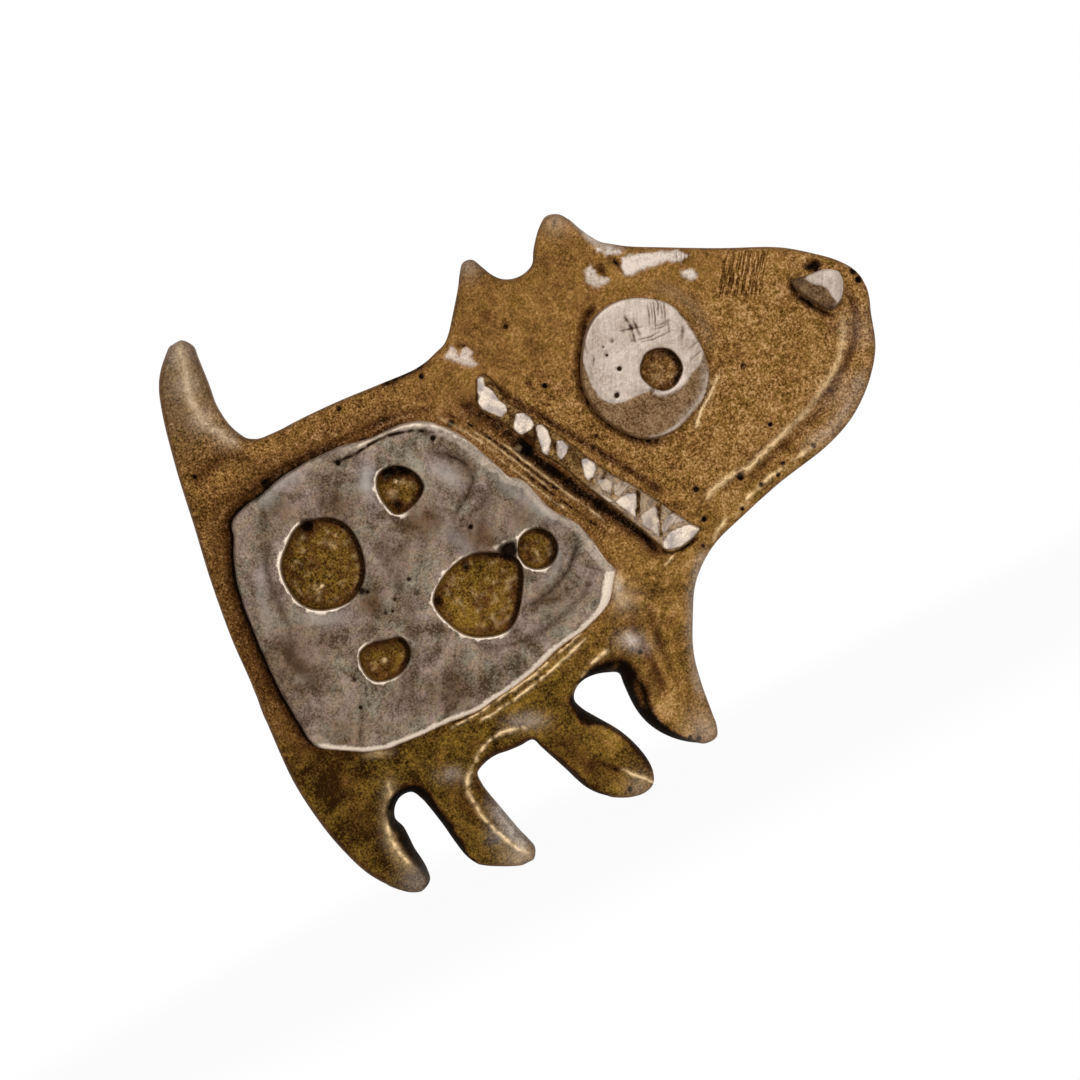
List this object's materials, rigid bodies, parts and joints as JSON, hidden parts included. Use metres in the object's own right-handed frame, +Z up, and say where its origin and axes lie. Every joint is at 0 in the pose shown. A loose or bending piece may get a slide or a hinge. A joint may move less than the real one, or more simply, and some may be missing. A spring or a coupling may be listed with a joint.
{
  "type": "dog brooch",
  "caption": "Flat cast dog brooch in patinated brass with silver saddle, eye, nose and collar overlays, and a hinged pin with a roll-over safety catch on its back.",
  "frame": {"origin": "on the flat back of the casting, under the line of the pin", "axes": "+X towards the dog's nose along the pin, +Y out of the flat back towards the wearer, +Z up as worn"},
  "size_m": [0.0515, 0.0093, 0.0437],
  "materials": {
    "brass_casting": "cast, patinated brown, rubbed bright on the high edges",
    "silver_overlay": "satin silver, grey with soft brown stains",
    "silver_bright": "filed flat and bright, with fine scratches",
    "silver_chiselled": "chiselled teeth, bright on the facets and brown between them",
    "brass_findings": "drawn and turned brass, lightly tarnished",
    "steel_wire": "drawn and polished steel wire"
  },
  "bodies": {
    "brooch": {"dog_casting": "brass_casting", "saddle_plate": "silver_overlay", "eye_disc": "silver_bright", "nose_tip": "silver_bright", "collar_band": "silver_chiselled", "hinge_base": "brass_findings", "hinge_rivet": "brass_findings", "catch_housing": "brass_findings"},
    "pin": {"pin_stem": "steel_wire"},
    "rotor": {"catch_rotor": "brass_findings"}
  },
  "joints": [
    {"name": "pin_swing", "type": "hinge", "parent": "brooch", "child": "pin", "pos_m": [-0.01448, 0.00255, 0], "axis": [0, 0, 1], "range_deg": [0, 78]},
    {"name": "rotor_turn", "type": "hinge", "parent": "brooch", "child": "rotor", "pos_m": [0.01602, 0.00255, 0], "axis": [1, 0, 0], "range_deg": [0, 84]}
  ]
}
